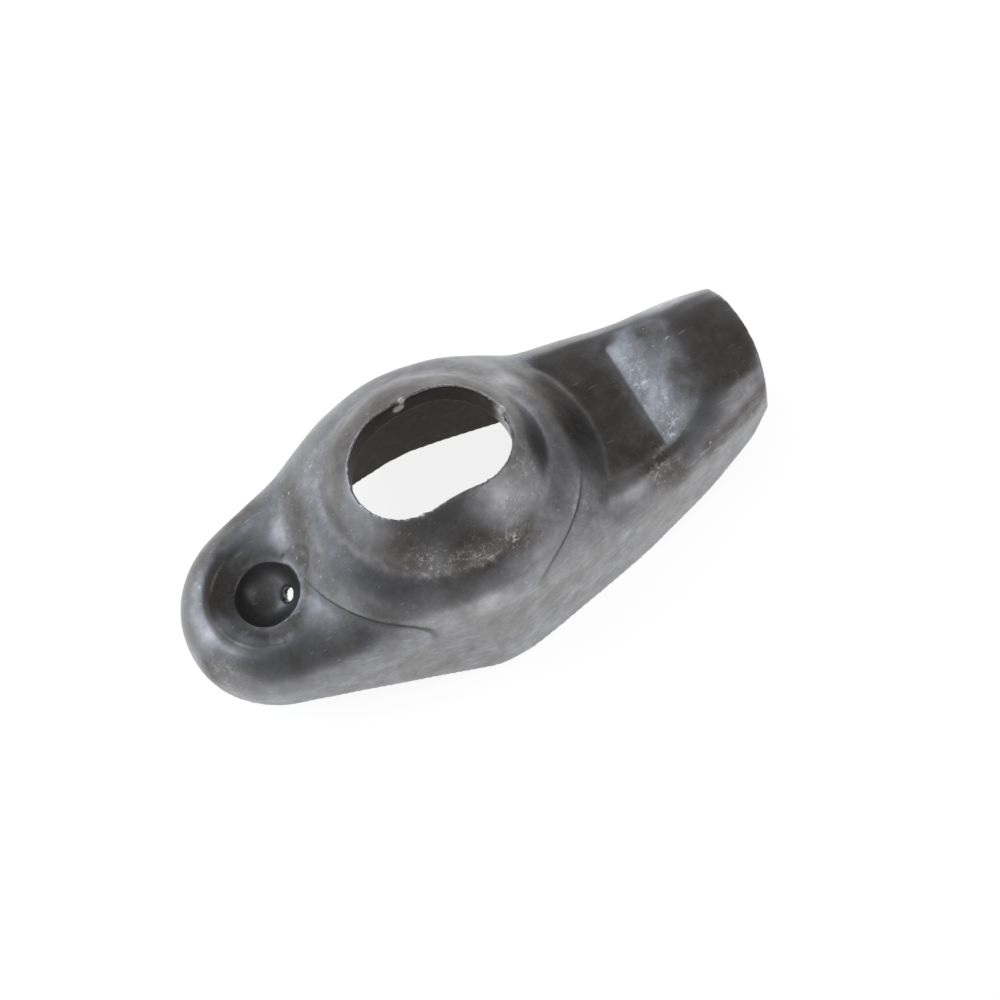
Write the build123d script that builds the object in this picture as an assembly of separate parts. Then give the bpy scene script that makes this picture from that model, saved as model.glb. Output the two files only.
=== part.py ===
from build123d import *

import math
import os

# Stamped ball-pivot rocker arm, one piece of pressed sheet steel, in millimetres.
# Origin at the centre of the ball seat. X runs towards the valve, Y across the arm,
# and Z up towards the face that meets the pushrod and the valve, so the trough opens below.

# Sheet
sheet = 2.8
shoulder_radius = 4.6

# Ball seat: a dome on a conical flange that flares down to the floor
seat_ball_radius = 11.2
dome_radius = seat_ball_radius + sheet
seat_root_radius = 1.5
flange_angle = 24.0
flange_width = 1.4
flange_drop = 10.45
flange_bend_radius = 6.0
flare_angle = 48.0
flare_width = 7.6

# Plan of the outside walls
pushrod_end_x = -22.2
pushrod_end_radius = 11.75
seat_wall_ledge = 2.6
seat_wall_radius = dome_radius + seat_wall_ledge
flank_radius = 350.0
tip_x = 39.9
tip_half_width = 7.4
tip_crown = 1.15

# Stud slot
slot_x = -0.1
slot_length = 19.6
slot_width = 13.7

# Pushrod cup in its shallow dish, and its oil hole
cup_x = -23.3
cup_ball_radius = 4.0
cup_wall = 1.4
dish_radius = 7.4
dish_depth = 0.5
oil_hole_diameter = 1.8
oil_hole_angle = 37.0

# Floor from the pushrod end, over the saddle below the seat, to the round valve pad
pushrod_floor_z = -1.7
pushrod_floor_angle = 11.0
saddle_z = 0.0
saddle_end_x = 5.0
ridge_start_x = 14.0
ridge_z = -0.8
floor_bend_radius = 12.0
pad_top_x = 40.0
pad_top_z = 2.3
pad_radius = 30.0

# Valley pressed into the floor between the ridges, ending in the crease and the ramp
valley_half_width = 8.2
valley_angle = 3.0
valley_wall_angle = 35.0
valley_corner_length = 3.0
crease_x = 26.1
crease_z = -2.1
crease_half_width = 7.6
ramp_angle = 27.0
ramp_top_half_width = 5.2

# Rim of the side walls
rim_low_z = -15.4
rim_low_x0 = -2.0
rim_low_x1 = 20.0
rim_pushrod_x = -25.0
rim_pushrod_z = -9.2
rim_valve_x = 30.0
rim_valve_z = -13.6
rim_bend_radius = 12.0
rim_corner_x = 37.3
rim_corner_z = -10.7
rim_corner_angle = 56.0
rim_corner_radius = 3.0

# The tools run this far past the part
overrun = 12.0
tip_overrun = 4.0
tool_low_z = rim_low_z - overrun
tool_high_z = 2 * overrun
tool_start_x = pushrod_end_x - pushrod_end_radius - overrun
tool_end_x = tip_x + tip_overrun

# How near counts as touching, and how near 1 counts as parallel
touching = 0.001
almost_one = 0.99


def slope(angle):
    """Rise for each millimetre along a slope."""
    return math.tan(math.radians(angle))


def corners(sketch, *points):
    """The corners of a sketch nearest to the given points of its plane."""
    return [sketch.vertices().sort_by_distance(point)[0] for point in points]


def plan_outline():
    """Outside of the arm from above: round pushrod end, round seat, tapered valve end."""
    lean = math.asin((seat_wall_radius - pushrod_end_radius) / -pushrod_end_x)
    end_tangent = (
        pushrod_end_x - pushrod_end_radius * math.sin(lean),
        pushrod_end_radius * math.cos(lean),
    )
    seat_tangent = (-seat_wall_radius * math.sin(lean), seat_wall_radius * math.cos(lean))

    # The flank is an arc that touches the seat circle and passes through the corner of the tip
    centre_distance = flank_radius - seat_wall_radius
    tip_distance = math.hypot(tip_x, tip_half_width)
    cosine = (centre_distance**2 + tip_distance**2 - flank_radius**2) / (
        2 * centre_distance * tip_distance
    )
    bearing = math.atan2(tip_half_width, tip_x) - math.acos(cosine)
    centre = Vector(centre_distance * math.cos(bearing), centre_distance * math.sin(bearing))
    flank_start = -centre * (seat_wall_radius / centre_distance)

    def on_flank(x):
        return (x, centre.Y + math.sqrt(flank_radius**2 - (x - centre.X) ** 2))

    half = Curve() + [
        RadiusArc((pushrod_end_x - pushrod_end_radius, 0), end_tangent, pushrod_end_radius),
        Line(end_tangent, seat_tangent),
        ThreePointArc(seat_tangent, (0, seat_wall_radius), flank_start),
        ThreePointArc(flank_start, on_flank(tip_x / 2), on_flank(tool_end_x)),
        Line(on_flank(tool_end_x), (tool_end_x, 0)),
    ]
    return make_face((half + mirror(half, Plane.XZ)).edges())


def floor_side():
    """Side view of the floor, the saddle, the ridges and the pad, filled down to the foot."""
    pushrod_rise = slope(pushrod_floor_angle)
    saddle_start_x = cup_x + (saddle_z - pushrod_floor_z) / pushrod_rise
    start_z = pushrod_floor_z + pushrod_rise * (tool_start_x - cup_x)
    pad_centre_z = pad_top_z - pad_radius
    ridge_end_x = pad_top_x - math.sqrt(pad_radius**2 - (ridge_z - pad_centre_z) ** 2)
    pad_end_z = pad_centre_z + math.sqrt(pad_radius**2 - (tool_end_x - pad_top_x) ** 2)
    bends = [
        (saddle_start_x, saddle_z),
        (saddle_end_x, saddle_z),
        (ridge_start_x, ridge_z),
        (ridge_end_x, ridge_z),
    ]
    foot = [(tool_end_x, tool_low_z), (tool_start_x, tool_low_z), (tool_start_x, start_z)]
    pad_end = (tool_end_x, pad_end_z)
    straights = Polyline(pad_end, *foot, *bends)
    pad = ThreePointArc((ridge_end_x, ridge_z), (pad_top_x, pad_top_z), pad_end)
    side = make_face([*straights.edges(), pad])
    return fillet(corners(side, *bends), floor_bend_radius)


def seat_side():
    """Side view of half the dome, its flange and the flare, filled down to the foot."""
    bend_r = dome_radius + flange_width
    bend_z = dome_radius - flange_drop
    foot_r = bend_r + flare_width
    foot_z = bend_z - slope(flare_angle) * flare_width
    peak_z = bend_z + slope(flange_angle) * bend_r

    def on_dome(angle):
        return (dome_radius * math.cos(angle), dome_radius * math.sin(angle))

    # Where the line of the flange meets the circle of the dome
    upright = math.pi / 2
    lean = math.radians(flange_angle)
    nearest = peak_z * math.cos(lean)
    root_angle = upright - lean - math.acos(nearest / dome_radius)
    root = on_dome(root_angle)
    dome = ThreePointArc(on_dome(upright), on_dome((root_angle + upright) / 2), root)
    foot = [(foot_r, foot_z), (foot_r, tool_low_z), (0, tool_low_z)]
    flange = Polyline(root, (bend_r, bend_z), *foot, on_dome(upright))
    half = make_face([dome, *flange.edges()])
    half = fillet(corners(half, root), seat_root_radius)
    return fillet(corners(half, (bend_r, bend_z)), flange_bend_radius)


def valley_side():
    """Side view of the punch of the valley and the ramp, which meet at the crease."""
    valley_length = valley_half_width + overrun
    ramp_length = overrun
    return make_face(
        Polyline(
            (crease_x - valley_length, crease_z + slope(valley_angle) * valley_length),
            (crease_x, crease_z),
            (crease_x + ramp_length, crease_z + slope(ramp_angle) * ramp_length),
            (crease_x + ramp_length, tool_high_z),
            (crease_x - valley_length, tool_high_z),
            close=True,
        ).edges()
    )


def across(side):
    """A side view run through the whole width of the arm."""
    return extrude(Plane.XZ * side, seat_wall_radius + overrun, both=True)


def round_shoulders(block, outline, radius):
    """Round the edges where the top of a block meets the walls of the outline."""

    def on_shoulder(edge):
        middle = edge.position_at(0.5)
        upright = abs(edge.tangent_at(0.5).Z) > almost_one
        on_wall = outline.wire().distance_to(Vector(middle.X, middle.Y)) < touching
        before_tool_end = middle.X < tip_x
        above_foot = middle.Z > rim_low_z
        return on_wall and before_tool_end and above_foot and not upright

    return fillet([edge for edge in block.edges() if on_shoulder(edge)], radius)


def valley_tool(inset):
    """The punch that presses the valley and the ramp, grown by an inset on every face."""
    ramp_top_x = crease_x + (pad_top_z - crease_z) / slope(ramp_angle)
    plan = make_face(
        Polyline(
            (0, -valley_half_width),
            (crease_x - valley_corner_length, -valley_half_width),
            (crease_x, -crease_half_width),
            (ramp_top_x, -ramp_top_half_width),
            (ramp_top_x, ramp_top_half_width),
            (crease_x, crease_half_width),
            (crease_x - valley_corner_length, valley_half_width),
            (0, valley_half_width),
            close=True,
        ).edges()
    )
    side = valley_side()
    if inset:
        plan = offset(plan, inset, kind=Kind.INTERSECTION)
        side = offset(side, inset, kind=Kind.INTERSECTION)
    body = Pos(0, 0, crease_z - inset) * extrude(plan, overrun, taper=-valley_wall_angle)
    return body & across(side)


def dish_tool(inset):
    """Ball that presses the shallow dish about the cup, grown by an inset."""
    ball = (dish_radius**2 + dish_depth**2) / (2 * dish_depth)
    floor_here = Pos(cup_x, 0, pushrod_floor_z) * Rot(0, -pushrod_floor_angle, 0)
    return floor_here * Pos(0, 0, ball - dish_depth) * Sphere(ball + inset)


def pressed_form(inset):
    """The space inside one skin of the sheet: the outer skin at 0, the inner at the sheet's gauge."""
    outline = offset(plan_outline(), -inset) if inset else plan_outline()
    prism = Pos(0, 0, tool_low_z) * extrude(outline, tool_high_z - tool_low_z)
    floor_tool = floor_side()
    seat_tool = seat_side() + mirror(seat_side(), Plane.YZ)
    if inset:
        floor_tool = offset(floor_tool, -inset)
        seat_tool = offset(seat_tool, -inset)
    floor = prism & across(floor_tool)
    seat = prism & revolve(Plane.XZ * split(seat_tool, Plane.YZ), Axis.Z)
    floor = round_shoulders(floor, outline, shoulder_radius - inset)
    floor = floor - valley_tool(inset) - dish_tool(inset)
    return floor + round_shoulders(seat, outline, shoulder_radius - inset)


def trimmed_side():
    """Side view of what is left after the rim of the walls is cut."""
    bends = [
        (rim_pushrod_x, rim_pushrod_z),
        (rim_low_x0, rim_low_z),
        (rim_low_x1, rim_low_z),
        (rim_valve_x, rim_valve_z),
    ]
    corner = (rim_corner_x, rim_corner_z)
    end_z = rim_corner_z + slope(rim_corner_angle) * (tool_end_x - rim_corner_x)
    side = make_face(
        Polyline(
            (tool_start_x, tool_high_z),
            (tool_start_x, rim_pushrod_z),
            *bends,
            corner,
            (tool_end_x, end_z),
            (tool_end_x, tool_high_z),
            close=True,
        ).edges()
    )
    side = fillet(corners(side, *bends), rim_bend_radius)
    return fillet(corners(side, corner), rim_corner_radius)


def tip_waste():
    """What the die takes off beyond the bowed edge of the valve end."""
    bow_radius = (tip_half_width**2 + tip_crown**2) / (2 * tip_crown)
    block_size = 4 * overrun
    bow = Cylinder(bow_radius, block_size)
    start = (Align.MIN, Align.CENTER, Align.CENTER)
    block = Box(block_size, block_size, block_size, align=start)
    return Pos(tip_x - tip_overrun, 0) * block - Pos(tip_x + tip_crown - bow_radius, 0) * bow


def stud_slot():
    """Slot through the dome for the rocker stud."""
    return Pos(slot_x, 0) * extrude(SlotOverall(slot_length, slot_width), tool_high_z)


def oil_hole():
    """Oil hole through the side of the cup, drilled square to its ball face."""
    below = (Align.CENTER, Align.CENTER, Align.MAX)
    drill = Cylinder(oil_hole_diameter / 2, 2 * cup_ball_radius, align=below)
    return Pos(cup_x, 0, pushrod_floor_z) * Rot(0, -oil_hole_angle, 0) * drill


def rocker_arm():
    """The pressed, pierced and trimmed arm."""
    outer = pressed_form(0)
    inner = pressed_form(sheet)
    cup_centre = Pos(cup_x, 0, pushrod_floor_z)
    cup_bulge = cup_centre * Sphere(cup_ball_radius + cup_wall)
    arm = outer - inner + (outer & cup_bulge)
    arm = arm - cup_centre * Sphere(cup_ball_radius)
    arm = arm & across(trimmed_side())
    return arm - tip_waste() - stud_slot() - oil_hole()


os.makedirs("parts", exist_ok=True)
export_step(rocker_arm(), "parts/rocker_arm.step")
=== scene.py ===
import math

import bpy
import numpy as np
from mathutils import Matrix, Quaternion, Vector


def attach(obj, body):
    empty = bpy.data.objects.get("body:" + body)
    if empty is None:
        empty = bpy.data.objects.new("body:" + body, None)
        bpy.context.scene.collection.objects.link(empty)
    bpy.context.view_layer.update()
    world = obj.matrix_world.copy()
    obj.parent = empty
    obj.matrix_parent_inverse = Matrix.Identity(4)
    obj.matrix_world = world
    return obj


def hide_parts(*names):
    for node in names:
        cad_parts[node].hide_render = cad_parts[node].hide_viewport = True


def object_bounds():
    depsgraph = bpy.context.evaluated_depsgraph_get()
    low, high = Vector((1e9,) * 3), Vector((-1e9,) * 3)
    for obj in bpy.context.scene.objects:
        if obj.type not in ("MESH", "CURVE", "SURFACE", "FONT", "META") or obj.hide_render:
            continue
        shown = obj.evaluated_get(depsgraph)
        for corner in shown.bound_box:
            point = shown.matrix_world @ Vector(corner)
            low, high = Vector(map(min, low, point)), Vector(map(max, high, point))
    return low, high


# A pressed steel rocker arm lying dome up on a pale floor. The scene is in metres in the
# frame of the CAD part: origin at the centre of the ball seat, X towards the valve, Z up.
# The values named for the arm are in millimetres.

MM = 0.001

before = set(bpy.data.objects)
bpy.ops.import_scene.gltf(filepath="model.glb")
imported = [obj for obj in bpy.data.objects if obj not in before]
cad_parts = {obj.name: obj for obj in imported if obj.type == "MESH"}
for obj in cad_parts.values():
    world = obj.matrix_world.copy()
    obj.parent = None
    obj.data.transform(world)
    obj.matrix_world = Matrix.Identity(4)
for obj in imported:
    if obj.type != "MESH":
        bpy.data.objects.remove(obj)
cad_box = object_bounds()
arm_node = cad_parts["rocker_arm"]

# Places on the arm, from its own sizes
cup_centre = (-23.3, 0.0, -1.7)
cup_radius = 4.0
slot_half_straight = 2.95
slot_end_radius = 6.85
dome_radius = 14.0
crease_x = 26.1
ramp_top_x = 31.8
tip_x = 41.05
tip_crown = 1.15
tip_half_width = 7.4
rim_z = -15.4
walls_middle = (-22.2, 41.0)
end_centre_x = -22.2
end_radius = 11.75

# The visual skin: size of its first cells, its triangles, and passes of smoothing
voxel = 0.20
most_triangles = 188000
fine_weight, fine_passes = 0.5, 4
soft_weight, soft_passes = 0.9, 60


# ---------------------------------------------------------------- mesh tools
def even_copy(node, name):
    """An even, fine mesh of a CAD node in the frame of the part."""
    mesh = node.data.copy()
    mesh.transform(node.matrix_world)
    copy = bpy.data.objects.new(name, mesh)
    bpy.context.scene.collection.objects.link(copy)
    remesh = copy.modifiers.new("even", "REMESH")
    remesh.mode = "VOXEL"
    remesh.voxel_size = voxel * MM
    graph = bpy.context.evaluated_depsgraph_get()
    even = bpy.data.meshes.new_from_object(copy.evaluated_get(graph))
    copy.modifiers.clear()
    copy.data = even
    even.name = name
    return copy


def thinned(thing, triangles):
    """Bring a piece down to a number of triangles, shaded smooth."""
    thin = thing.modifiers.new("thin", "DECIMATE")
    thin.ratio = triangles / (2 * len(thing.data.polygons))
    thin.use_collapse_triangulate = True
    graph = bpy.context.evaluated_depsgraph_get()
    thing.data = bpy.data.meshes.new_from_object(thing.evaluated_get(graph))
    thing.modifiers.clear()
    thing.data.polygons.foreach_set("use_smooth", [True] * len(thing.data.polygons))


def read_points(mesh):
    flat = np.empty(len(mesh.vertices) * 3)
    mesh.vertices.foreach_get("co", flat)
    return flat.reshape(-1, 3) / MM


def write_points(mesh, points):
    mesh.vertices.foreach_set("co", (points * MM).ravel())
    mesh.update()


def read_normals(mesh):
    flat = np.empty(len(mesh.vertices) * 3, dtype=np.float32)
    mesh.vertex_normals.foreach_get("vector", flat)
    return flat.reshape(-1, 3)


def read_edges(mesh):
    flat = np.empty(len(mesh.edges) * 2, dtype=np.int32)
    mesh.edges.foreach_get("vertices", flat)
    return flat.reshape(-1, 2)


def write_attribute(mesh, name, values):
    layer = mesh.attributes.new(name, "FLOAT", "POINT")
    layer.data.foreach_set("value", values.astype(np.float32))


def edge_counts(edges, count):
    return np.maximum(np.bincount(edges.ravel(), minlength=count), 1).astype(float)


def neighbour_mean(values, edges, degree):
    """Mean over each vertex's neighbours, for a column or for points."""
    count = len(degree)
    columns = values.reshape(count, -1)
    total = np.empty_like(columns)
    for k in range(columns.shape[1]):
        total[:, k] = np.bincount(edges[:, 0], columns[edges[:, 1], k], count)
        total[:, k] += np.bincount(edges[:, 1], columns[edges[:, 0], k], count)
    return (total / degree[:, None]).reshape(values.shape)


def smoothed(values, edges, weight, passes):
    degree = edge_counts(edges, len(values))
    weight = np.broadcast_to(weight, (len(values),)).reshape((-1,) + (1,) * (values.ndim - 1))
    for _ in range(passes):
        values = values + weight * (neighbour_mean(values, edges, degree) - values)
    return values


def ramp(value, start, end):
    """0 at start, 1 at end, smooth between them, either way round."""
    t = np.clip((value - start) / (end - start), 0, 1)
    return t * t * (3 - 2 * t)


def bell(distance, width):
    return np.exp(-((distance / width) ** 2))


def disc(distance, size, blur):
    """1 inside a size, 0 outside it, blurred across its edge."""
    return ramp(distance, size + blur, size - blur)


def noise_field(points, scale, seed, cells=64):
    """Smooth noise from -1 to 1, with features of about a scale, repeating after the cells."""
    lattice = np.random.default_rng(seed).uniform(-1, 1, (cells, cells, cells))
    place = points / scale
    cell = np.floor(place).astype(int)
    share = ramp(place - cell, 0, 1)
    total = np.zeros(len(points))
    for step in np.ndindex(2, 2, 2):
        weight = np.prod(np.where(step, share, 1 - share), axis=1)
        total += weight * lattice[tuple((cell + step).T % cells)]
    return total


def blobs(points, painted_light_and_oxide_places):
    """Sum of soft round patches, each with its centre, its size and its amount."""
    total = np.zeros(len(points))
    for centre, size, amount in painted_light_and_oxide_places.values():
        total += amount * bell(np.linalg.norm(points - centre, axis=1), size)
    return total


# ---------------------------------------------------------------- where things are on the skin
arm = even_copy(arm_node, "pressed_arm")
points = read_points(arm.data)
edges = read_edges(arm.data)
normals = read_normals(arm.data)

# Measures of the plain shape, kept while the skin is worked
x, y, z = points.T
off_middle = np.abs(y)
radius = np.hypot(x, y)
from_centre = np.linalg.norm(points, axis=1)
from_slot = np.hypot(np.maximum(np.abs(x) - slot_half_straight, 0), y) - slot_end_radius
from_cup = np.linalg.norm(points - cup_centre, axis=1)
from_cup_axis = np.hypot(x - cup_centre[0], y)
from_tip = tip_x - tip_crown * (y / tip_half_width) ** 2 - x
almost_nothing = 1e-6
aside = np.stack([x - np.clip(x, *walls_middle), y], axis=1)
aside /= np.maximum(np.linalg.norm(aside, axis=1), almost_nothing)[:, None]

# The upper skin, without the walls' lower part and the inside of the seat
faces_up = (-0.25, 0.1)
above_rim = (rim_z + 5, rim_z + 9)
seat_inside = dome_radius - 0.8
seat_inside_fade = (0.0, 0.5)
outer = ramp(normals[:, 2], *faces_up) * ramp(z, *above_rim)
outer *= 1 - ramp(seat_inside - from_centre, *seat_inside_fade)

# Away from the cut edges of the slot and the tip, and from the cup
seat_low_z = 5
slot_edge_fade = (0.3, 1.6)
cup_edge_fade = (cup_radius + 0.4, cup_radius + 1.4)
tip_edge_fade = (0.5, 2.2)
off_edges = np.where(z > seat_low_z, ramp(from_slot, *slot_edge_fade), 1.0)
off_edges *= ramp(from_cup, *cup_edge_fade)
off_edges *= ramp(from_tip, *tip_edge_fade)

# Where the stamping turns softly: round the seat, along the valley and over the ramp, but
# not in the crease. Each place has a middle and a width, then the fades that end it.
crease_width, crease_sides = 1.3, (8.6, 7.2)
seat_foot_radius, seat_foot_width, seat_foot_rise = 13.9, 1.8, (1.5, 3.5)
flange_foot_radius, flange_foot_width = 20.0, 4.0
valley_side, valley_side_width = 8.0, 2.2
valley_start, valley_end = (13.0, 16.0), (36.0, 30.0)
ramp_top_width, ramp_top_sides = 1.8, (7.0, 5.0)
least_soft = 0.12
crease = bell(x - crease_x, crease_width) * ramp(off_middle, *crease_sides)
seat_foot = bell(radius - seat_foot_radius, seat_foot_width) * ramp(z, *seat_foot_rise)
flange_foot = bell(radius - flange_foot_radius, flange_foot_width)
valley_edge = bell(off_middle - valley_side, valley_side_width)
valley_edge = valley_edge * ramp(x, *valley_start) * ramp(x, *valley_end)
ramp_top = bell(x - ramp_top_x, ramp_top_width) * ramp(off_middle, *ramp_top_sides)
soft = np.clip(least_soft + seat_foot + flange_foot + valley_edge + ramp_top, 0, 1)
soft *= outer * off_edges * (1 - crease)

# ---------------------------------------------------------------- the pressed skin
points = smoothed(points, edges, fine_weight, fine_passes)
points = smoothed(points, edges, soft_weight * soft, soft_passes)
write_points(arm.data, points)
normals = read_normals(arm.data)


def facing_out(normals):
    """How far each place faces out from the middle line of the arm."""
    return normals[:, 0] * aside[:, 0] + normals[:, 1] * aside[:, 1]


# Low waves and a fine ripple, less of them on the cut edges
wave, wave_size, wave_seed = 0.07, 6.0, 1
ripple, ripple_size, ripple_seed = 0.010, 1.1, 2
edge_share = 0.2
relief = wave * noise_field(points, wave_size, wave_seed)
relief = relief + ripple * noise_field(points, ripple_size, ripple_seed)
relief *= edge_share + (1 - edge_share) * off_edges

# The die's parting line, on the near side of the seat
die_line_centre = (-0.85, 1.2)
die_line_radius = 18.1
die_line_width = 0.25
die_line_depth = 0.05
die_line_valve_end, die_line_far_end = (17.0, 13.0), (3.0, -8.0)
from_die_line = np.hypot(x - die_line_centre[0], y - die_line_centre[1]) - die_line_radius
die_line_shows = ramp(x, *die_line_valve_end) * ramp(y, *die_line_far_end) * outer
relief -= die_line_depth * bell(from_die_line, die_line_width) * die_line_shows

# Shoulders pressed sharper towards the tip, by how far a place leans out, in degrees
sharpening = 0.22
shoulder_lean, shoulder_spread = 45, 32
shoulder_sides, shoulder_rise = (5.0, 6.5), (rim_z + 7, rim_z + 10)
shoulder_start, cut_face_fade = (24.0, 38.0), (0.75, 0.35)
sideways = normals[:, 1] * np.sign(y)
lean = np.degrees(np.arctan2(normals[:, 2], sideways))
shoulder = bell(lean - shoulder_lean, shoulder_spread)
shoulder = shoulder * ramp(off_middle, *shoulder_sides) * ramp(z, *shoulder_rise)
relief += (
    sharpening * shoulder * ramp(x, *shoulder_start) * ramp(np.abs(normals[:, 0]), *cut_face_fade)
)

# The floor is dished about the cup, on the side of the round end
dish_radius, dish_blur, dish_step = 6.7, 0.3, 0.28
dish_up, dish_side, dish_rise = (-0.3, 0.0), (-22.5, -26.0), (-9.0, -8.0)
dish = disc(from_cup_axis, dish_radius, dish_blur) * ramp(normals[:, 2], *dish_up)
dish *= ramp(x, *dish_side) * ramp(z, *dish_rise)

# A bead inside the round end
bead, bead_inset, bead_width = 0.14, 3.1, 0.9
bead_side, bead_up = (-24.0, -27.0), (0.2, 0.5)
from_end = end_radius - np.hypot(x - end_centre_x, y)
relief += (
    bead * bell(from_end - bead_inset, bead_width) * ramp(x, *bead_side)
    * ramp(normals[:, 2], *bead_up)
)

# A mark drawn down the near wall
draw_mark_x, draw_mark_width, draw_mark_depth = -5.2, 0.25, 0.08
draw_mark_side, draw_mark_top, draw_mark_out = (-14.0, -15.5), (-9.5, -8.0), (0.5, 0.8)
draw_mark = bell(x - draw_mark_x, draw_mark_width)
draw_mark = draw_mark * ramp(y, *draw_mark_side) * ramp(z, *draw_mark_top)
relief -= draw_mark_depth * draw_mark * ramp(facing_out(normals), *draw_mark_out)

# Burrs left standing on the cut edge of the slot
burrs = {
    "far": ((-0.5, 6.8, 10.9), 0.60, 1.3),
    "far outer": ((0.1, 6.9, 12.0), 0.35, 1.0),
    "valve end": ((9.7, 0.9, 9.6), 0.50, 1.3),
    "valve end low": ((9.8, -0.4, 9.0), 0.40, 1.0),
    "near": ((-4.6, -6.7, 11.4), 0.30, 1.0),
}
burr_height, burr_grain_size, burr_seed = 0.32, 0.5, 4
burr_even, burr_uneven = 0.8, 0.4
burr = np.clip(blobs(points, burrs), 0, 1)
burr_grain = burr_even + burr_uneven * noise_field(points, burr_grain_size, burr_seed)
relief += burr_height * burr * burr_grain

# A small round dent beside the cup
dent_place, dent_radius, dent_blur, dent_depth = (-19.1, 0.9), 2.0, 0.3, 0.10
dent_off_cup = (cup_radius + 0.3, cup_radius + 0.8)
from_dent = np.hypot(x - dent_place[0], y - dent_place[1])
dent = disc(from_dent, dent_radius, dent_blur) * outer
dent *= ramp(from_cup, *dent_off_cup)
relief -= dent_depth * dent

points = points + normals * relief[:, None]
points[:, 2] -= dish_step * dish
write_points(arm.data, points)
normals = read_normals(arm.data)

# ---------------------------------------------------------------- where the finish changes
# Oxide, painted highlights and painted shade: paler where an amount is above 0, darker and oilier
# where it is below. Patches such as the flange shine, the nose and the lip are painted
# highlights, and the darker near side of the dome and the near shoulder are painted shade
painted_light_and_oxide_places = {
    "dome near left": ((-8.8, -8.0, 7.2), 2.8, -1.3),
    "dome near": ((-0.6, -12.2, 6.0), 3.0, -2.1),
    "dome near right": ((5.0, -12.3, 5.2), 2.4, -1.5),
    "dome foot left": ((-7.4, -13.4, 2.0), 2.6, 1.8),
    "dome foot": ((-1.6, -15.2, 1.9), 2.8, 2.4),
    "dome foot right": ((5.6, -14.6, 2.2), 2.6, 0.9),
    "dome near top": ((6.0, -7.0, 10.5), 4.2, 1.6),
    "dome near top right": ((4.4, -9.6, 9.0), 2.4, 0.9),
    "dome left top": ((-9.3, -2.8, 10.0), 3.2, 1.1),
    "dome far": ((-2.0, 9.5, 10.0), 6.0, -0.8),
    "dome far left": ((-8.9, 6.5, 8.8), 3.0, -0.9),
    "dome far right": ((8.9, 5.5, 9.3), 3.0, -1.4),
    "dome valve side": ((11.0, -4.5, 7.3), 2.4, -0.8),
    "floor left of cup": ((-27.8, 2.0, -3.0), 3.0, -0.9),
    "floor far left": ((-26.5, 7.5, -3.0), 4.5, -1.0),
    "floor far": ((-21.5, 12.0, -4.0), 3.2, -1.0),
    "floor far edge": ((-20.2, 11.4, -3.6), 2.2, -1.4),
    "floor far of cup": ((-19.4, 6.0, -2.4), 2.5, 2.6),
    "floor near cup": ((-22.8, -5.4, -3.0), 2.4, -1.0),
    "floor near left": ((-26.5, -7.0, -3.0), 3.2, -0.3),
    "floor right of cup": ((-17.6, -7.2, -2.5), 2.8, 3.2),
    "nose": ((-30.4, -0.4, -3.9), 1.6, 4.0),
    "nose near": ((-29.2, -4.0, -3.9), 1.6, 3.4),
    "under nose": ((-32.6, -3.4, -6.8), 2.2, -1.8),
    "lower nose": ((-30.0, -8.5, -9.0), 5.0, 0.4),
    "cup far": ((-21.1, 2.1, -4.5), 2.0, 1.6),
    "cup left": ((-24.4, 0.8, -5.4), 1.8, -0.8),
    "flange near left": ((-12.6, -5.2, 1.5), 1.6, 0.8),
    "flange near": ((11.9, -8.6, 2.5), 2.4, 1.3),
    "flange left": ((-15.0, 3.0, 1.5), 3.6, -1.5),
    "flange far left": ((-15.5, 8.5, 1.0), 3.0, -1.0),
    "flange left near": ((-15.0, -3.6, 0.0), 2.5, -1.6),
    "flange left foot": ((-13.3, -9.8, 0.0), 2.5, -0.9),
    "flange far": ((-6.0, 14.8, 1.0), 4.0, 0.9),
    "flange right": ((17.3, 4.3, 1.5), 2.8, -1.4),
    "flange right middle": ((16.6, 1.0, 1.8), 3.0, -1.0),
    "flange right near": ((17.4, -1.8, 1.0), 2.8, -1.3),
    "flange far right": ((15.4, 8.4, 1.8), 3.0, -1.2),
    "flange shine": ((13.3, 7.2, 4.0), 1.7, 2.8),
    "flange far shine": ((11.6, 10.4, 3.0), 1.8, 1.0),
    "ramp": ((28.3, -3.0, -1.0), 3.6, 0.8),
    "ramp far": ((30.2, 6.4, 0.4), 2.0, -1.8),
    "ramp far foot": ((27.6, 5.2, -0.9), 1.8, 1.0),
    "ramp top": ((32.0, -1.6, 1.0), 2.2, -1.8),
    "ramp top far": ((32.8, 4.6, 0.9), 2.3, -1.3),
    "ramp top near": ((31.4, -3.8, 0.7), 1.8, -1.2),
    "lip": ((19.6, -10.5, -0.8), 2.2, 2.0),
    "lip pad": ((34.6, -7.7, 0.0), 1.6, 1.6),
    "lip tip": ((37.6, -7.5, 0.2), 1.3, 1.2),
    "lip crease": ((29.8, -7.9, -0.8), 1.5, 1.2),
    "near wall": ((-8.0, -16.0, -8.0), 12.0, -0.15),
    "near wall right": ((14.0, -15.0, -8.0), 7.0, -0.3),
    "far ridge": ((22.0, 9.5, -1.0), 4.0, 0.6),
    "far ridge end": ((30.0, 8.5, 0.0), 4.0, 0.4),
    "far ridge crease": ((25.6, 7.6, -1.0), 1.5, 0.9),
    "far tip": ((35.0, 7.9, 0.0), 3.2, 2.4),
    "tip edge": ((40.6, 2.0, 1.0), 2.0, 1.0),
    "near shoulder": ((26.0, -10.2, -4.0), 2.6, -1.3),
    "near shoulder middle": ((31.5, -9.7, -3.4), 2.4, -1.7),
    "near shoulder end": ((36.5, -9.6, -3.0), 2.6, -2.4),
    "near tip": ((39.2, -8.2, -1.4), 1.8, -1.8),
}
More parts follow.
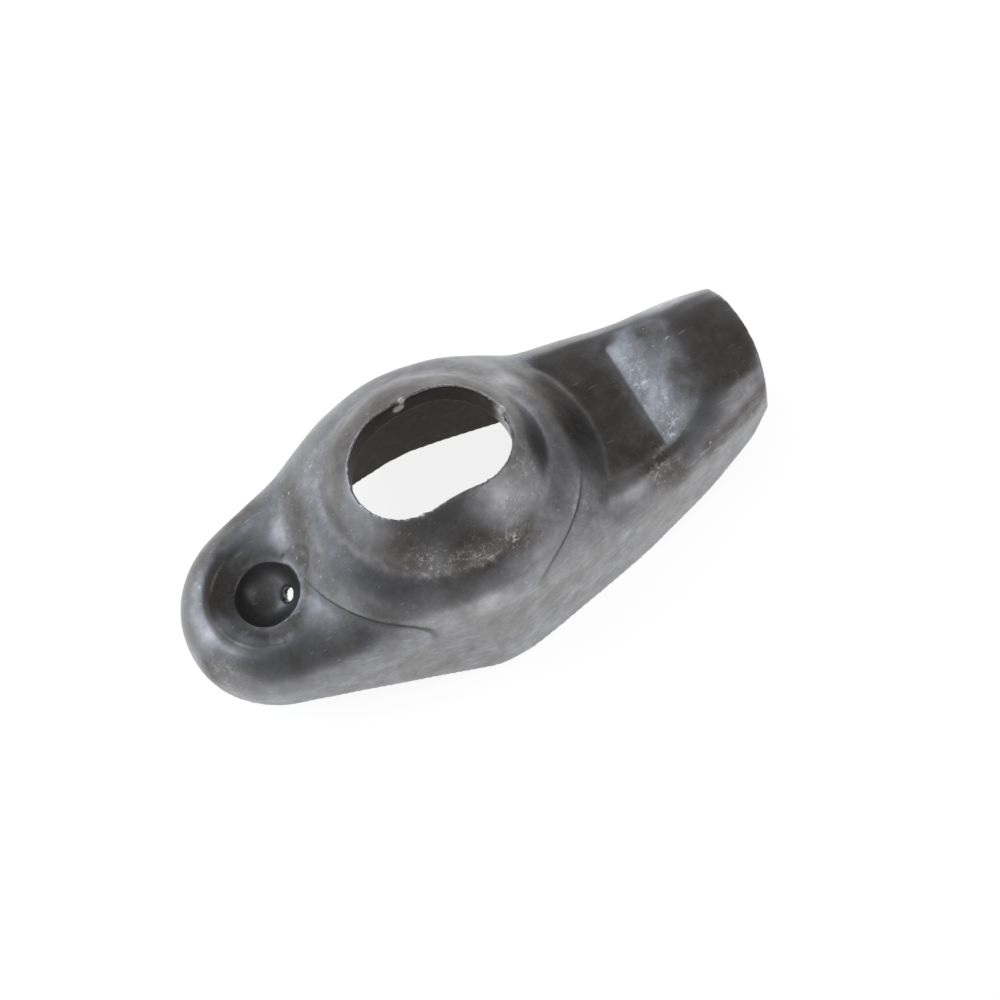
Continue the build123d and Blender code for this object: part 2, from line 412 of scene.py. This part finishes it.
# Painted shade on the dome and round the cup's mouth, and a painted highlight at the foot of the
# ramp
on_dome_amount = -0.5
on_dome_plan, on_dome_rise = (dome_radius + 0.2, dome_radius - 1.2), (4.0, 6.0)
cup_mouth_amount, cup_mouth_radius, cup_mouth_width = -0.9, 5.0, 0.8
cup_mouth_up, cup_mouth_side = (0.0, 0.3), (-16.0, -18.0)
ramp_foot_amount, ramp_foot_before, ramp_foot_width = 0.7, 0.1, 0.6
ramp_foot_sides = (7.2, 6.2)
on_dome = ramp(radius, *on_dome_plan) * ramp(z, *on_dome_rise)
cup_mouth = bell(from_cup_axis - cup_mouth_radius, cup_mouth_width)
cup_mouth = cup_mouth * ramp(normals[:, 2], *cup_mouth_up) * ramp(x, *cup_mouth_side)
ramp_foot = bell(x - crease_x + ramp_foot_before, ramp_foot_width)
ramp_foot = ramp_foot * ramp(off_middle, *ramp_foot_sides) * outer
painted_light_and_oxide = blobs(points, painted_light_and_oxide_places) + on_dome_amount * on_dome
painted_light_and_oxide = painted_light_and_oxide + cup_mouth_amount * cup_mouth + ramp_foot_amount * ramp_foot

# Painted shade, browner and darker, in the valley and on the pad
valley_x, valley_end_x = (15.0, 21.0), (crease_x - 0.2, crease_x - 0.9)
pad_x, pad_sides = (ramp_top_x - 2.5, ramp_top_x + 1.0), (7.0, 5.6)
level = (0.80, 0.95)
in_valley = ramp(x, *valley_x) * ramp(x, *valley_end_x)
on_pad = ramp(x, *pad_x) * ramp(off_middle, *pad_sides)
brown_tint_and_shade = (in_valley + on_pad) * ramp(normals[:, 2], *level) * outer

# The trough never rubs and is painted in shade: its skin faces down or, on the side walls, in
# towards the middle
faces_down, faces_in = (-0.1, -0.4), (-0.1, -0.4)
upright_fade, trough_off_cup = (0.5, 0.3), (cup_radius + 0.2, cup_radius + 0.6)
wall_fade = (0.5, 0.2)
upright = ramp(np.abs(normals[:, 2]), *upright_fade) * ramp(from_cup, *trough_off_cup)
inside = np.maximum(
    ramp(normals[:, 2], *faces_down), ramp(facing_out(normals), *faces_in) * upright
)
wall = ramp(np.abs(normals[:, 2]), *wall_fade) * (1 - inside)

# A thin worn line on the slot's edge, and the parting line where it is level enough to show
slot_line, slot_line_width = 0.12, 0.22
slot_line_rise, slot_line_outside = (7.5, 8.5), (13.2, 13.7)
die_line_rise = (-4.0, -2.0)
slot_edge = bell(from_slot - slot_line, slot_line_width) * ramp(z, *slot_line_rise)
slot_edge = slot_edge * ramp(np.linalg.norm(points, axis=1), *slot_line_outside)
die_line = die_line_shows * ramp(z, *die_line_rise)

# Wear where the surface turns out, dirt where it turns in
turn_passes = 12
full_turn = 0.010
wear_up = (-0.2, 0.1)
degree = edge_counts(edges, len(points))
turn = np.einsum("ij,ij->i", points - neighbour_mean(points, edges, degree), normals)
turn = smoothed(turn, edges, fine_weight, turn_passes)
wear = np.clip(turn / full_turn, 0, 1) * ramp(normals[:, 2], *wear_up)
dirt = np.clip(-turn / full_turn, 0, 1)

scuffs = {
    "dome near": ((-6.3, -10.7, 6.5), 2.6, 1.0),
    "dome near middle": ((-0.5, -12.0, 6.0), 2.6, 0.7),
    "dome near top": ((8.0, -6.5, 9.0), 3.0, 0.8),
    "dome streak": ((4.8, -9.6, 9.0), 1.6, 1.2),
    "dome streak end": ((4.2, -12.4, 5.5), 1.5, 1.2),
    "ramp far": ((27.4, 4.0, -1.2), 1.5, 1.1),
    "ramp": ((27.3, 1.0, -1.3), 1.8, 1.4),
    "ramp middle": ((27.5, -2.4, -1.2), 1.9, 1.4),
    "ramp near": ((27.8, -6.0, -1.1), 1.8, 1.4),
    "flange right": ((13.0, -11.0, 2.0), 3.0, 0.6),
    "flange near": ((-9.0, -15.0, 2.0), 2.5, 0.7),
    "floor near": ((-18.0, -8.5, -2.5), 2.5, 0.7),
    "lip": ((24.0, -9.5, -1.0), 3.0, 0.8),
    "nose": ((-31.0, -5.0, -5.0), 3.0, 0.6),
    "tip": ((37.0, -7.0, 2.0), 2.5, 0.6),
}
finish = {
    "painted_light_and_oxide": painted_light_and_oxide,
    "inside": inside,
    "slot_edge": slot_edge,
    "die_line": die_line,
    "wall": wall,
    "brown_tint_and_shade": brown_tint_and_shade,
    "chip": burr,
    "wear": wear,
    "dirt": dirt,
    "scuff": np.clip(blobs(points, scuffs), 0, 1),
}
for name, values in finish.items():
    write_attribute(arm.data, name, values)

thinned(arm, most_triangles)
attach(arm, "root")
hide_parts("rocker_arm")


# ---------------------------------------------------------------- node tools
class Tree:
    """Short calls to build the nodes of a material or a world."""

    def __init__(self, owner):
        owner.use_nodes = True
        self.owner = owner
        self.tree = owner.node_tree

    def node(self, kind, **values):
        """A node, with its settings by name and its inputs as in_NAME or in_NUMBER."""
        made = self.tree.nodes.new(kind)
        for key, value in values.items():
            if key.startswith("in_"):
                socket = key[3:]
                made.inputs[int(socket) if socket.isdigit() else socket].default_value = value
            else:
                setattr(made, key, value)
        return made

    def set(self, socket, source):
        """A socket takes a number, a colour or another node's output."""
        if isinstance(source, (int, float)):
            socket.default_value = source
        elif isinstance(source, tuple):
            socket.default_value = (*source, 1)
        else:
            self.tree.links.new(source, socket)

    def value(self, name):
        return self.node("ShaderNodeAttribute", attribute_name=name).outputs["Fac"]

    def maths(self, operation, *sources):
        made = self.node("ShaderNodeMath", operation=operation)
        for socket, source in zip(made.inputs, sources):
            self.set(socket, source)
        return made.outputs[0]

    def product(self, first, *others):
        for other in others:
            first = self.maths("MULTIPLY", first, other)
        return first

    def fit(self, source, low, high, out_low=0.0, out_high=1.0, **values):
        made = self.node("ShaderNodeMapRange", in_1=low, in_2=high, **values)
        self.set(made.inputs[0], source)
        self.set(made.inputs[3], out_low)
        self.set(made.inputs[4], out_high)
        return made.outputs[0]

    def mix(self, factor, first, second):
        made = self.node("ShaderNodeMix", data_type="RGBA")
        for socket, source in ((0, factor), (6, first), (7, second)):
            self.set(made.inputs[socket], source)
        return made.outputs[2]

    def noise(self, place, scale, detail, roughness):
        made = self.node(
            "ShaderNodeTexNoise", in_Scale=scale, in_Detail=detail, in_Roughness=roughness
        )
        self.set(made.inputs["Vector"], place)
        return made.outputs["Fac"]

    def scratches(self, place, turn, scale, least):
        """Sparse straight scratches: noise drawn out along one direction, cut off high."""
        along, across, detail, roughness, edge = 0.10, 1.0, 1, 0.4, 0.03
        drawn = self.node(
            "ShaderNodeMapping", in_Scale=(along, across, across), in_Rotation=turn
        )
        self.set(drawn.inputs["Vector"], place)
        noise = self.noise(drawn.outputs[0], scale, detail, roughness)
        return self.fit(noise, least, least + edge)


# ---------------------------------------------------------------- dark steel
steel = Tree(bpy.data.materials.new("dark_steel"))
place = steel.node("ShaderNodeTexCoord").outputs["Object"]
gloss = steel.tree.nodes["Principled BSDF"]

blue_grey = (0.262, 0.270, 0.300)
dark_grey = (0.178, 0.174, 0.172)
brown_black_dirt_and_shade = (0.114, 0.099, 0.084)
oil_and_shade_black = (0.080, 0.071, 0.064)
line_and_trough_shade_black = (0.036, 0.032, 0.026)
pale_wear_and_highlight = (0.50, 0.50, 0.52)
painted_highlight_white = (0.80, 0.81, 0.85)
pale_stain = (0.50, 0.49, 0.44)
scuff_grey = (0.64, 0.64, 0.63)
burr_grey = (0.86, 0.83, 0.78)

# Noises, each by its scale in a metre, its detail and its roughness
cloud_noise, patch_noise, grain_noise = (130, 5, 0.65), (420, 6, 0.75), (2600, 3, 0.6)
curl_noise, crest_noise = (700, 3, 0.6), (900, 5, 0.8)
clouds = steel.noise(place, *cloud_noise)
patches = steel.noise(place, *patch_noise)
grain = steel.noise(place, *grain_noise)
curl_field = steel.noise(place, *curl_noise)
crests = steel.noise(place, *crest_noise)

# How much of each colour a noise or an attribute lets in: from, to, and the shares there
blue_clouds = (0.36, 0.66)
brown_and_shade_share = 0.85
pale_and_highlight_range, painted_highlight_range = (0, 2.0, 0, 1.0), (1.6, 3.6)
oily_and_shade_range = (0, -1.2, 0, 0.9)
oily_patches, worn_patches = (0.40, 0.70, 0, 0.45), (0.55, 0.30, 0, 0.18)
base = steel.mix(steel.fit(clouds, *blue_clouds), dark_grey, blue_grey)
# Painted shade, brown black, in the valley and on the pad
base = steel.mix(steel.product(steel.value("brown_tint_and_shade"), brown_and_shade_share), base, brown_black_dirt_and_shade)
# Paler with oxide and painted highlights, near white with painted highlights, darker with oil and
# painted shade
base = steel.mix(steel.fit(steel.value("painted_light_and_oxide"), *pale_and_highlight_range), base, pale_wear_and_highlight)
base = steel.mix(steel.fit(steel.value("painted_light_and_oxide"), *painted_highlight_range), base, painted_highlight_white)
base = steel.mix(steel.fit(steel.value("painted_light_and_oxide"), *oily_and_shade_range), base, oil_and_shade_black)
base = steel.mix(steel.fit(patches, *oily_patches), base, oil_and_shade_black)
base = steel.mix(steel.fit(patches, *worn_patches), base, pale_wear_and_highlight)

# Scratches all over, and others drawn along the walls: each by its turn in radians, its
# scale in a metre, and the noise from which it shows
scratch_share = 0.5
wall_clouds = (0.4, 0.65, 0.04, 0.30)
one_way_set = ((0.3, 0.1, 0.6), 2600, 0.74)
other_way_set = ((1.9, 0.7, 2.2), 2200, 0.75)
along_wall_set = ((0, 0.06, 0.33), 1500, 0.62)
one_way = steel.scratches(place, *one_way_set)
other_way = steel.scratches(place, *other_way_set)
along_wall = steel.scratches(place, *along_wall_set)
on_wall = steel.product(along_wall, steel.value("wall"), steel.fit(clouds, *wall_clouds))
all_over = steel.product(steel.maths("MAXIMUM", one_way, other_way), scratch_share)
base = steel.mix(steel.maths("MAXIMUM", all_over, on_wall), base, pale_wear_and_highlight)

# Scuffs are pale curls and grains: the level lines of a noise, and its crests
curl_level, curl_line, curl_crests = 0.5, (0.035, 0.005), (0.46, 0.56)
grain_crests = (0.55, 0.68)
scuff_share = 0.8
curls = steel.maths("ABSOLUTE", steel.maths("SUBTRACT", curl_field, curl_level))
curl_mark = steel.product(steel.fit(curls, *curl_line), steel.fit(crests, *curl_crests))
curl_mark = steel.maths("MAXIMUM", curl_mark, steel.fit(crests, *grain_crests))
base = steel.mix(steel.product(steel.value("scuff"), curl_mark, scuff_share), base, scuff_grey)

# Worn where it turns out, unless oily or painted in shade, and dirty where it turns in
wear_tone, wear_patches, wear_share = (-0.3, -1.2, 1.0, 0.15), (0.40, 0.62), 0.6
dirt_share = 0.5
slot_patches = (0.40, 0.55, 0.15, 0.8)
wear_mark = steel.product(
    steel.value("wear"),
    steel.fit(patches, *wear_patches),
    steel.fit(steel.value("painted_light_and_oxide"), *wear_tone),
    wear_share,
)
slot_mark = steel.product(steel.value("slot_edge"), steel.fit(patches, *slot_patches))
base = steel.mix(wear_mark, base, pale_wear_and_highlight)
base = steel.mix(steel.product(steel.value("dirt"), dirt_share), base, brown_black_dirt_and_shade)
base = steel.mix(slot_mark, base, pale_wear_and_highlight)

# The parting line, dark, as far from its centre as its radius
line_edge, line_clouds = (0.14 * MM, 0.05 * MM), (0.35, 0.55, 0.25, 0.8)
line_centre = [-c * MM for c in die_line_centre]
flat = steel.node("ShaderNodeVectorMath", operation="MULTIPLY_ADD")
flat.inputs[1].default_value = (1, 1, 0)
flat.inputs[2].default_value = (*line_centre, 0)
reach = steel.node("ShaderNodeVectorMath", operation="LENGTH")
steel.set(flat.inputs[0], place)
steel.set(reach.inputs[0], flat.outputs[0])
off_line = steel.maths("SUBTRACT", reach.outputs["Value"], die_line_radius * MM)
line_mark = steel.product(
    steel.fit(steel.maths("ABSOLUTE", off_line), *line_edge),
    steel.value("die_line"),
    steel.fit(clouds, *line_clouds),
)
base = steel.mix(line_mark, base, line_and_trough_shade_black)

# The trough: oil black and painted shade, with some grey left in patches
trough_shade_share, trough_patches = 0.95, (0.52, 0.75, 0, 0.5)
trough_grey = steel.product(steel.value("inside"), steel.fit(patches, *trough_patches))
base = steel.mix(steel.product(steel.value("inside"), trough_shade_share), base, line_and_trough_shade_black)
base = steel.mix(trough_grey, base, dark_grey)

# Pale specks here and there, and the bare metal of the burrs
speck_scale, speck_edge, speck_clouds, speck_share = 620.0, (0.13, 0.09), (0.56, 0.60), 0.7
burr_edge = (0.15, 0.6)
specks = steel.node("ShaderNodeTexVoronoi", in_Scale=speck_scale)
steel.set(specks.inputs["Vector"], place)
speck_mark = steel.product(
    steel.fit(specks.outputs["Distance"], *speck_edge),
    steel.fit(clouds, *speck_clouds),
    speck_share,
)
base = steel.mix(speck_mark, base, pale_stain)
base = steel.mix(steel.fit(steel.value("chip"), *burr_edge), base, burr_grey)
steel.set(gloss.inputs["Base Color"], base)

# Gloss: a film of oil over the metal outside, none in the trough and less where it is dark
metal, film, film_roughness = 0.8, 0.8, 0.36
film_tone = (-0.4, -1.4, 1.0, 0.25)
rough_patches, trough_rough = (0.3, 0.7, 0.28, 0.42), 0.3
coat = steel.product(
    steel.fit(steel.value("inside"), 0, 1, film, 0.0), steel.fit(steel.value("painted_light_and_oxide"), *film_tone)
)
rough = steel.maths(
    "ADD", steel.fit(patches, *rough_patches), steel.product(steel.value("inside"), trough_rough)
)
steel.set(gloss.inputs["Metallic"], steel.fit(steel.value("chip"), 0, 1, metal, 0.0))
steel.set(gloss.inputs["Coat Weight"], coat)
steel.set(gloss.inputs["Coat Roughness"], film_roughness)
steel.set(gloss.inputs["Roughness"], rough)

# The finest relief: the grain of the oxide and the scuffs
bump_strength, bump_height = 0.35, 0.04 * MM
grain_share, curl_share = 0.6, 0.3
bump = steel.node("ShaderNodeBump", in_Strength=bump_strength, in_Distance=bump_height)
height = steel.maths(
    "ADD", steel.product(grain, grain_share), steel.product(curl_mark, curl_share)
)
steel.set(bump.inputs["Height"], height)
steel.set(gloss.inputs["Normal"], bump.outputs[0])
arm.data.materials.clear()
arm.data.materials.append(steel.owner)

# ---------------------------------------------------------------- floor
floor_size = 2.4
bpy.ops.mesh.primitive_plane_add(size=floor_size, location=(0, 0, cad_box[0].z))
floor = bpy.context.object
floor.name = "floor"

# The floor is a grey that the lamps light, lifted to white where the camera or a gloss sees it
floor_grey = 0.5
floor_lift = 0.86
gloss_lift = 0.82
white = Tree(bpy.data.materials.new("white_floor"))
white.tree.nodes.remove(white.tree.nodes["Principled BSDF"])
matt = white.node("ShaderNodeBsdfDiffuse", in_Color=(floor_grey, floor_grey, floor_grey, 1))
path = white.node("ShaderNodeLightPath")
to_camera = white.product(path.outputs["Is Camera Ray"], floor_lift)
to_gloss = white.product(path.outputs["Is Glossy Ray"], gloss_lift)
glow = white.node("ShaderNodeEmission")
both = white.node("ShaderNodeAddShader")
white.set(glow.inputs["Strength"], white.maths("MAXIMUM", to_camera, to_gloss))
white.set(both.inputs[0], matt.outputs[0])
white.set(both.inputs[1], glow.outputs[0])
white.set(white.tree.nodes["Material Output"].inputs["Surface"], both.outputs[0])
floor.data.materials.append(white.owner)

# ---------------------------------------------------------------- light
# A room with a dim ceiling, pale walls on the far side and dimmer ones on the near side
ceiling = 0.22
walls = 1.2
dim_walls = 0.35
pale_side = (-0.45, 0.89, 0.0)
side_fade, ceiling_fade = (-0.6, 0.4), (0.0, 0.5)
world = bpy.data.worlds.new("studio")
bpy.context.scene.world = world
room = Tree(world)
heading = room.node("ShaderNodeTexCoord").outputs["Generated"]
facing = room.node("ShaderNodeVectorMath", operation="DOT_PRODUCT", in_1=pale_side)
split = room.node("ShaderNodeSeparateXYZ")
room.set(facing.inputs[0], heading)
room.set(split.inputs[0], heading)
smooth = {"interpolation_type": "SMOOTHSTEP"}
lit = room.fit(facing.outputs["Value"], *side_fade, dim_walls, walls, **smooth)
room_light = room.fit(split.outputs["Z"], *ceiling_fade, lit, ceiling, **smooth)
background = room.tree.nodes["Background"]
background.inputs["Color"].default_value = (1, 1, 1, 1)
room.set(background.inputs["Strength"], room_light)


def softbox(name, towards, distance, size, power, colour):
    """A square lamp facing the part, at a distance along a direction, in metres and watts."""
    data = bpy.data.lights.new(name, "AREA")
    data.shape = "SQUARE"
    data.size = size
    data.energy = power
    data.color = colour
    lamp = bpy.data.objects.new(name, data)
    direction = Vector(towards).normalized()
    lamp.location = direction * distance
    lamp.rotation_mode = "QUATERNION"
    lamp.rotation_quaternion = direction.to_track_quat("Z", "Y")
    bpy.context.scene.collection.objects.link(lamp)


lamps = {
    "left": ((-0.64, 0.60, 0.44), 0.8, 0.7, 2.2, (0.82, 0.89, 1.0)),
    "right": ((0.60, -0.65, 0.45), 0.8, 0.6, 0.9, (1.0, 0.99, 0.98)),
}
for name, settings in lamps.items():
    softbox(name, *settings)

# ---------------------------------------------------------------- camera
camera_place = Vector((-79.016, -247.064, 530.491)) * MM
camera_target = Vector((5.608, -4.582, 0)) * MM
camera_roll = -10.892
camera_lens = 182.05
camera_sensor = 36
camera_sees = (0.01, 10)

camera = bpy.data.objects.new("camera", bpy.data.cameras.new("camera"))
bpy.context.scene.collection.objects.link(camera)
camera.data.lens = camera_lens
camera.data.sensor_width = camera_sensor
camera.data.clip_start, camera.data.clip_end = camera_sees
camera.location = camera_place
camera.rotation_mode = "QUATERNION"
straight = (camera_place - camera_target).to_track_quat("Z", "Y")
camera.rotation_quaternion = straight @ Quaternion((0, 0, 1), math.radians(camera_roll))
bpy.context.scene.camera = camera
bpy.context.scene.view_settings.view_transform = "Standard"
